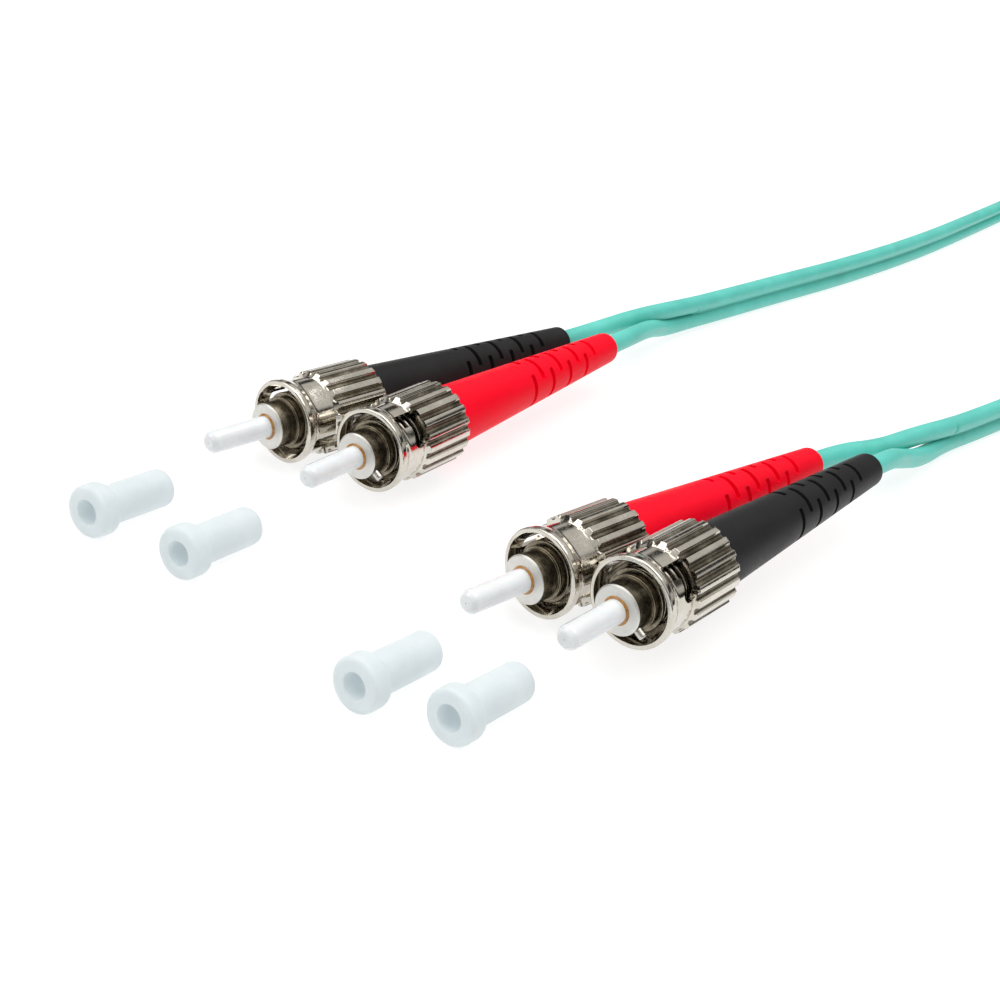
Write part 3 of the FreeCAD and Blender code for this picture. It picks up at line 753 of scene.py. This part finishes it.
def nickel_finish():
    """Bright nickel over a slightly uneven casting, with painted shade in the flutes.

    The share of the columns times the flute count gives a place within one flute, which is
    deepest at its half; the walked distance keeps the painted shade to the knurl."""
    finish = Finish("bright_nickel", metallic=1.0)
    clouds = finish.noise(420.0, 3.0)
    grit = finish.noise(4600.0, 5.0, 0.7)
    tone = clouds * 0.5 + grit * 0.5
    passed, walked = finish.spot()
    apart = abs(passed * FLUTES % 1.0 - 0.5)
    in_flute = finish.step(apart, FLUTE_SHARE[0], FLUTE_SHARE[1], 1.0, 0.0)
    after = finish.step(walked, KNURL_WALK[0], KNURL_WALK[0] + 0.3)
    before = finish.step(walked, KNURL_WALK[1] - 0.4, KNURL_WALK[1], 1.0, 0.0)
    # painted shade: the hollows of the flutes are darkened in the colour itself
    painted_flute_shade = in_flute * after * before
    bright = finish.ramp(tone, (0.32, (0.50, 0.465, 0.40)), (0.68, (0.72, 0.69, 0.63)))
    dull = finish.ramp(clouds, (0.32, (0.07, 0.06, 0.04)), (0.68, (0.24, 0.21, 0.16)))
    finish.feed("Base Color", finish.mix(painted_flute_shade, bright, dull))
    finish.feed("Roughness", finish.step(tone, 0.42, 0.66, 0.05, 0.24) + painted_flute_shade * 0.12)
    finish.bump(grit * 0.4 + finish.noise(900.0, 2.0) * 0.6, 0.000018, 0.45)
    return finish


NICKEL = nickel_finish()
NUT_ROLL = {"a_red": 0.0, "a_black": -100.0, "b_red": -100.0, "b_black": 0.0}
for name in CONNECTORS:
    mesh = seated(NUT, name, NUT_ROLL[name])
    add_piece("knurled_nut_" + name, mesh, "nut_" + name, NICKEL, ["coupling_nut_" + name])
print("tarnish from", round(KNURL_WALK[0], 2), "to", round(KNURL_WALK[1], 2), "mm along the outline")

# %% [markdown]
# ## Ferrule, holder, key pin and spring
# These are lathe work, so each is an outline carried round the axis with its edges just broken.
# The ferrule steps down where the holder grips it, the holder carries a thin collar and a flange
# for the spring, and the key pin is the same thing on a sideways axis.

# %% Turned parts of the head
FERRULE_OUTLINE = rounded_outline([
    (0.064, 0.0, 0.0), (0.82, 0.0, 0.40), (1.25, 0.48, 0.60), (1.25, 7.75, 0.0), (1.00, 7.75, 0.0),
    (1.00, 11.9, 0.0), (0.47, 11.9, 0.0), (0.064, 8.9, 0.0)], 6)
EPOXY_OUTLINE = rounded_outline([
    (1.0, 7.72, 0.0), (1.28, 7.72, 0.04), (1.50, 7.90, 0.0), (1.0, 7.90, 0.0)], 4)
HOLDER_OUTLINE = rounded_outline([
    (1.00, 7.90, 0.0), (2.45, 7.90, 0.03), (2.60, 8.05, 0.04), (2.60, 10.20, 0.04), (2.85, 10.20, 0.10),
    (2.85, 10.50, 0.06), (2.60, 10.50, 0.0), (2.60, 10.90, 0.0), (3.25, 10.90, 0.10), (3.25, 11.20, 0.05),
    (2.20, 11.20, 0.05), (2.20, 17.30, 0.0),
    (1.90, 17.30, 0.0), (1.90, 17.80, 0.0), (2.20, 17.80, 0.0), (2.20, 19.90, 0.0), (0.60, 19.90, 0.0),
    (0.60, 11.90, 0.0), (1.00, 11.90, 0.0)], 4)
WASHER_OUTLINE = rounded_outline([
    (2.28, 15.9, 0.05), (3.6, 15.9, 0.08), (3.6, 16.3, 0.08), (2.28, 16.3, 0.05)], 3)
PIN_OUTLINE = rounded_outline([
    (0.0, 2.0, 0.0), (0.45, 2.0, 0.0), (0.45, 3.5, 0.16), (0.0, 3.5, 0.0)], 5, closed=False)
PIN_STATION = 8.8
PIN_ROLL = {"a_red": 27.0, "a_black": 135.0, "b_red": 135.0, "b_black": 27.0}


def on_its_side(points):
    """Local grid turned so that its axis points to the right of the connector, at the pin's station."""
    return np.stack([points[..., 0], -points[..., 2], PIN_STATION + points[..., 1]], axis=-1)


print("holder rows", len(HOLDER_OUTLINE), "ferrule rows", len(FERRULE_OUTLINE))

# %% [markdown]
# ## Spring
# The spring pushes the nut back. It is a helix whose end turns lie flat, with the wire carried
# along it. The Screw tool could make the helix, but not the flat ends.

# %% Spring
SPRING_MEAN = 3.0
SPRING_WIRE = 0.22
SPRING_TURNS = (0.0, 0.75, 4.75, 5.5)
SPRING_STATIONS = (11.42, 11.70, 15.40, 15.68)


def spring_mesh():
    """Wire carried along a helix: station follows the turns, slow in the two flat ends."""
    turns = np.linspace(0, SPRING_TURNS[-1], 260)
    station = np.interp(turns, SPRING_TURNS, SPRING_STATIONS)
    angle = 2 * math.pi * turns
    line = np.column_stack([SPRING_MEAN * np.cos(angle), SPRING_MEAN * np.sin(angle), station])
    turn = np.linspace(0, 2 * math.pi, 12, endpoint=False)
    return carried("spring", line, SPRING_WIRE * np.column_stack([np.cos(turn), np.sin(turn)]))


SPRING = spring_mesh()
print("spring faces", len(SPRING.polygons))

# %% [markdown]
# ## Turned metal
# A lathe leaves rings that are far finer than the part, so the noise is stretched along the map:
# slow round the axis, quick along the outline. The holder's face is light grey; its drum is painted
# dark olive-brown as the shade and dark reflection of the nut, and the walked distance tells them apart.

# %% Metal finishes
def lathed_finish(name, dark, light, rough, streaks):
    """Turned metal: fine rings left by the tool, a little brighter and duller from ring to ring."""
    finish = Finish(name, metallic=1.0)
    rings = finish.noise(1.0, 3.0, 0.6, place=finish.along(1.5, streaks))
    clouds = finish.noise(900.0, 3.0)
    tone = rings * 0.6 + clouds * 0.4
    finish.feed("Base Color", finish.ramp(tone, (0.32, dark), (0.68, light)))
    finish.feed("Roughness", finish.step(tone, 0.32, 0.68, rough[0], rough[1]))
    finish.bump(rings, 0.00001, 0.4)
    return finish


DRUM_WALK = 1.68
DRUM_BLEND = 0.03


def holder_finish():
    """Matt grey face and edge, then a drum painted dark olive-brown as shade and dark reflection from the nut: the
    walked distance tells them apart.
    """
    finish = Finish("turned_holder", metallic=1.0)
    rings = finish.noise(1.0, 3.0, 0.6, place=finish.along(1.5, 14.0))
    clouds = finish.noise(1400.0, 4.0)
    tone = rings * 0.5 + clouds * 0.5
    # painted shade: past the face the drum is darkened for the nut's shade and the dark it mirrors
    behind = finish.step(finish.spot()[1], DRUM_WALK - DRUM_BLEND, DRUM_WALK + DRUM_BLEND)
    face = finish.ramp(tone, (0.3, (0.60, 0.59, 0.56)), (0.7, (0.74, 0.73, 0.70)))
    shaded_drum = finish.ramp(tone, (0.35, (0.10, 0.085, 0.055)), (0.65, (0.34, 0.30, 0.23)))
    finish.feed("Base Color", finish.mix(behind, face, shaded_drum))
    finish.feed("Roughness", finish.step(tone, 0.32, 0.68, 0.42, 0.50) - behind * 0.18)
    finish.bump(rings, 0.000008, 0.4)
    return finish


HOLDER = holder_finish()
BARREL = lathed_finish("turned_pin", (0.44, 0.41, 0.37), (0.70, 0.68, 0.64), (0.20, 0.34), 8.0)
# painted shade: the spring wire and washers inside the nut get a darker steel colour
SHADED_STEEL = lathed_finish("spring_wire", (0.20, 0.18, 0.15), (0.42, 0.39, 0.34), (0.18, 0.30), 4.0)
print("metal finishes", HOLDER.material.name, BARREL.material.name, SHADED_STEEL.material.name)

# %% [markdown]
# ## Ceramic and glue
# Zirconia is white because light scatters inside it, so a little subsurface scattering goes under
# a polished coat. Where the ferrule leaves the holder a bead of glue has set to amber.

# %% Ceramic and epoxy finishes
def ceramic_finish():
    """Polished zirconia: milky white, very smooth, with the faintest cloud in it."""
    finish = Finish("white_ceramic", subsurface_weight=0.15, subsurface_scale=0.0008, coat_weight=0.4)
    clouds = finish.noise(700.0, 3.0)
    finish.feed("Base Color", finish.ramp(clouds, (0.3, (0.74, 0.77, 0.79)), (0.7, (0.80, 0.83, 0.85))))
    finish.feed("Roughness", finish.step(clouds, 0.3, 0.7, 0.14, 0.22))
    finish.bump(finish.noise(3500.0, 2.0), 0.000004, 0.3)
    return finish


def epoxy_finish():
    """Cured amber glue, darker and lighter in soft clouds."""
    finish = Finish("amber_epoxy", coat_weight=0.3)
    clouds = finish.noise(2600.0, 3.0)
    finish.feed("Base Color", finish.ramp(clouds, (0.3, (0.30, 0.12, 0.015)), (0.7, (0.52, 0.26, 0.05))))
    finish.feed("Roughness", finish.step(clouds, 0.3, 0.7, 0.25, 0.45))
    finish.bump(clouds, 0.00003, 0.5)
    return finish


CERAMIC = ceramic_finish()
EPOXY = epoxy_finish()
print("ferrule finishes", CERAMIC.material.name, EPOXY.material.name)

# %% [markdown]
# ## Placing the head
# One mesh of each kind is copied to the four connectors. The spring belongs to the cord's body,
# with its front end held at the flange.

# %% Head pieces
HEAD = [
    ("white_ferrule_", lattice("ferrule", turned_grid(FERRULE_OUTLINE), sharp=40.0), CERAMIC,
     "ceramic", "ferrule_"),
    ("amber_ring_", lattice("epoxy", turned_grid(EPOXY_OUTLINE), sharp=40.0), EPOXY,
     "epoxy", "epoxy_ring_"),
    ("turned_holder_", lattice("holder", turned_grid(HOLDER_OUTLINE, 128), sharp=40.0), HOLDER,
     "barrel_metal", "ferrule_holder_"),
    ("key_post_", lattice("pin", on_its_side(turned_grid(PIN_OUTLINE, 32)), False, True, 40.0), BARREL,
     "barrel_metal", "key_pin_"),
]
WASHER = lattice("washer", turned_grid(WASHER_OUTLINE), sharp=40.0)
for name in CONNECTORS:
    for label, mesh, finish, slot, node in HEAD:
        add_piece(label + name, seated(mesh, name, PIN_ROLL[name]), "cord", finish, [node + name])
    add_piece("steel_washer_" + name, seated(WASHER, name), "washer_" + name, SHADED_STEEL,
              ["thrust_washer_" + name])
    coil_spring = add_piece("coil_spring_" + name, seated(SPRING, name), "cord", SHADED_STEEL,
                            ["spring_" + name])
    tip, axes = seat(name)
    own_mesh(coil_spring)
print("head pieces", len(HEAD) + 2, "for each connector")

# %% [markdown]
# ## Boots
# The soft moulded boot tapers from the nut to the cable, and two groups of four short grooves on
# each side let it bend. The grooves are part of the grid: a share of the depth that is one inside
# a groove and falls smoothly to nothing over a tenth of a millimetre at its lips.

# %% Boot grid
BOOT_CORNERS = [
    (3.00, 19.4, 0.0), (3.78, 19.4, 0.30), (3.78, 22.3, 2.0), (2.10, 60.4, 0.50), (1.40, 60.4, 0.15),
    (1.40, 34.1, 0.0), (2.15, 34.1, 0.0), (2.15, 21.1, 0.0), (3.00, 21.1, 0.0)]
GROOVE_WIDTH = 0.60
GROOVE_FLOOR = 1.85
GROOVE_LIP = 0.10
# (first station, spacing, middle in degrees, half width in degrees)
GROOVE_GROUPS = [(40.4, 4.40, 198.0, 37.0), (38.3, 4.33, 287.0, 67.0)]
GROOVES_IN_GROUP = 4
GROOVE_END_FADE = 3.0


def boot_grid(columns=144):
    """Outline rows with extra rows at every groove, whose radius falls toward the groove's floor."""
    outline = rounded_outline(BOOT_CORNERS, 5)
    taper = int(np.argmax(np.linalg.norm(np.diff(outline, axis=0), axis=1)))
    first, last = outline[taper], outline[taper + 1]
    starts = [begin + number * gap for begin, gap, _, _ in GROOVE_GROUPS
              for number in range(GROOVES_IN_GROUP)]
    lips = np.array([-0.12, -0.05, 0.0, 0.05, 0.12])
    rows = [np.linspace(first[1], last[1], 30)[1:-1]]
    rows += [np.concatenate([start + lips, start + GROOVE_WIDTH + lips]) for start in starts]
    station = np.unique(np.concatenate(rows).round(4))
    profile = np.interp(station, [first[1], last[1]], [first[0], last[0]])
    outline = np.vstack([outline[:taper + 1], np.column_stack([profile, station]), outline[taper + 1:]])
    grid = turned_grid(outline, columns)
    angle = np.linspace(0, 360, columns, endpoint=False)
    share = np.zeros(grid.shape[:2])
    for begin, gap, centre, half in GROOVE_GROUPS:
        away = np.abs((angle - centre + 90.0) % 180.0 - 90.0)
        around = 1.0 - eased((away - half) / GROOVE_END_FADE + 0.5)
        for number in range(GROOVES_IN_GROUP):
            into = (outline[:, 1] - (begin + number * gap)) / GROOVE_LIP
            along = eased(into + 0.5) * (1.0 - eased(into - GROOVE_WIDTH / GROOVE_LIP + 0.5))
            share = np.maximum(share, along[:, None] * around)
    inner = np.zeros(len(outline), dtype=bool)
    inner[taper + 1 + len(station):] = True
    share[inner] = 0.0
    radius = np.maximum(outline[:, :1], 1e-6)
    scale = 1.0 - share * (1.0 - GROOVE_FLOOR / radius)
    grid[..., :2] *= scale[..., None]
    return grid


BOOT = lattice("boot", boot_grid(), sharp=50.0)
print("boot faces", len(BOOT.polygons))

# %% [markdown]
# ## Boot finish
# The mould's wall is etched, so the elastomer comes out satin: a fine grain in the bump, and a
# sheen that is a little uneven. One function gives both the red and the black one.

# %% Boot pieces
def boot_finish(name, low, high, rough):
    """Moulded elastomer: fine grain and a soft satin sheen."""
    finish = Finish(name, specular_ior_level=0.10)
    grain = finish.noise(3800.0, 4.0)
    clouds = finish.noise(160.0, 3.0)
    finish.feed("Base Color", finish.ramp(grain * 0.4 + clouds * 0.6, (0.32, low), (0.68, high)))
    uneven = finish.step(grain * 0.5 + clouds * 0.5, 0.34, 0.66, rough - 0.07, rough + 0.07)
    finish.feed("Roughness", uneven)
    finish.bump(grain, 0.00002, 0.6)
    return finish


BOOT_FINISHES = {
    "red": boot_finish("red_boot", (0.86, 0.0, 0.014), (1.0, 0.0, 0.022), 0.46),
    "black": boot_finish("black_boot", (0.011, 0.011, 0.0115), (0.020, 0.020, 0.021), 0.42),
}
for name in CONNECTORS:
    colour = name.split("_")[1]
    add_piece("bend_boot_" + name, seated(BOOT, name), "cord", BOOT_FINISHES[colour],
              ["boot_" + name])
print("boot finishes", list(BOOT_FINISHES))

# %% [markdown]
# ## Dust caps
# Each loose cap is injection-moulded in a frosted see-through plastic. It lies on its flange rim
# and its tube end, so it is tipped by a few degrees. The record's slide joint gives its heading,
# the tilt is a given number, and the box of the imported node gives the place.

# %% Cap finish
CAP_OUTLINE = rounded_outline([
    (0.0, 8.2, 0.0), (1.27, 8.2, 0.25), (1.27, 0.0, 0.15), (2.72, 0.0, 0.50), (2.72, 2.10, 0.40),
    (2.02, 2.10, 0.25), (2.02, 10.3, 0.60), (0.0, 10.3, 0.0)], 6, closed=False)
CAP_TILT = math.radians(5.00)
JOINTS = {joint["name"]: joint for joint in frame["joints"]}


def cap_finish():
    """Frosted soft plastic: light goes in, scatters and comes out a little blue-grey; a faint painted glow adds to
    it.
    """
    # painted light: the emission makes the cap glow faintly, standing in for light passing through the plastic
    finish = Finish("frosted_cap", transmission_weight=0.30, ior=1.30, subsurface_weight=0.45,
                    subsurface_scale=0.002, subsurface_radius=(1.0, 1.0, 1.0),
                    emission_color=(0.80, 0.90, 0.93, 1), emission_strength=0.07)
    clouds = finish.noise(380.0, 3.0)
    grain = finish.noise(4000.0, 3.0)
    tone = clouds * 0.7 + grain * 0.3
    finish.feed("Base Color", finish.ramp(tone, (0.32, (0.70, 0.76, 0.78)), (0.68, (0.77, 0.82, 0.84))))
    finish.feed("Roughness", finish.step(clouds, 0.3, 0.7, 0.34, 0.46))
    finish.bump(grain, 0.00001, 0.4)
    return finish


CAP = lattice("cap", turned_grid(CAP_OUTLINE, 80), False, True, 60.0)
CAP_PLASTIC = cap_finish()
print("cap faces", len(CAP.polygons))

# %% [markdown]
# ## Laying the caps down
# A cap has no mount, so its axes are built here: along the slide's heading but tipped down by the
# tilt, level across, and square to both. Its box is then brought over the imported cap's box.

# %% Cap pieces
for name in CONNECTORS:
    flat = -np.array(JOINTS["cap_slide_" + name]["axis"])
    heading = flat * math.cos(CAP_TILT) + np.array([0.0, 0.0, -math.sin(CAP_TILT)])
    across = np.cross([0.0, 0.0, 1.0], flat)
    mesh = CAP.copy()
    spots = np.empty(len(mesh.vertices) * 3)
    mesh.vertices.foreach_get("co", spots)
    spots = (spots.reshape(-1, 3) * MM) @ np.array([across, np.cross(heading, across), heading])
    low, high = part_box("dust_cap_" + name)
    spots += (np.array(low) + np.array(high)) / 2 - (spots.min(axis=0) + spots.max(axis=0)) / 2
    mesh.vertices.foreach_set("co", spots.ravel())
    mesh.update()
    add_piece("push_cap_" + name, mesh, "cap_" + name, CAP_PLASTIC, ["dust_cap_" + name])
print("caps tipped by", round(math.degrees(CAP_TILT), 2), "degrees")

# %% [markdown]
# ## Pieces that stay hidden
# The retaining clip, the crimp body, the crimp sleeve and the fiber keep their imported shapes. They
# lie inside the boot and nut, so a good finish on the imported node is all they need.

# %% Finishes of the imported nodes
def glass_finish():
    """Silica fiber in its clear buffer."""
    finish = Finish("clear_fiber", transmission_weight=0.6, ior=1.46)
    clouds = finish.noise(1500.0, 2.0)
    finish.feed("Base Color", finish.ramp(clouds, (0.3, (0.75, 0.85, 0.85)), (0.7, (0.88, 0.93, 0.93))))
    finish.feed("Roughness", finish.step(clouds, 0.3, 0.7, 0.05, 0.15))
    return finish


def sleeve_finish():
    """Soft crimped metal with dull pressed patches."""
    finish = Finish("crimped_sleeve", metallic=1.0)
    patches = finish.noise(1100.0, 3.0)
    finish.feed("Base Color", finish.ramp(patches, (0.3, (0.48, 0.48, 0.47)), (0.7, (0.62, 0.62, 0.61))))
    finish.feed("Roughness", finish.step(patches, 0.3, 0.7, 0.35, 0.55))
    finish.bump(patches, 0.00003, 0.5)
    return finish


HIDDEN_FINISHES = {"retaining_clip_": NICKEL, "crimp_body_": NICKEL, "crimp_sleeve_": sleeve_finish(),
                   "fiber_": glass_finish()}
for label, finish in HIDDEN_FINISHES.items():
    for name in CONNECTORS:
        node = frame["nodes"][label + name]
        node.data.materials.clear()
        node.data.materials.append(finish.material)
print("finished packed nodes", len(HIDDEN_FINISHES) * len(CONNECTORS))
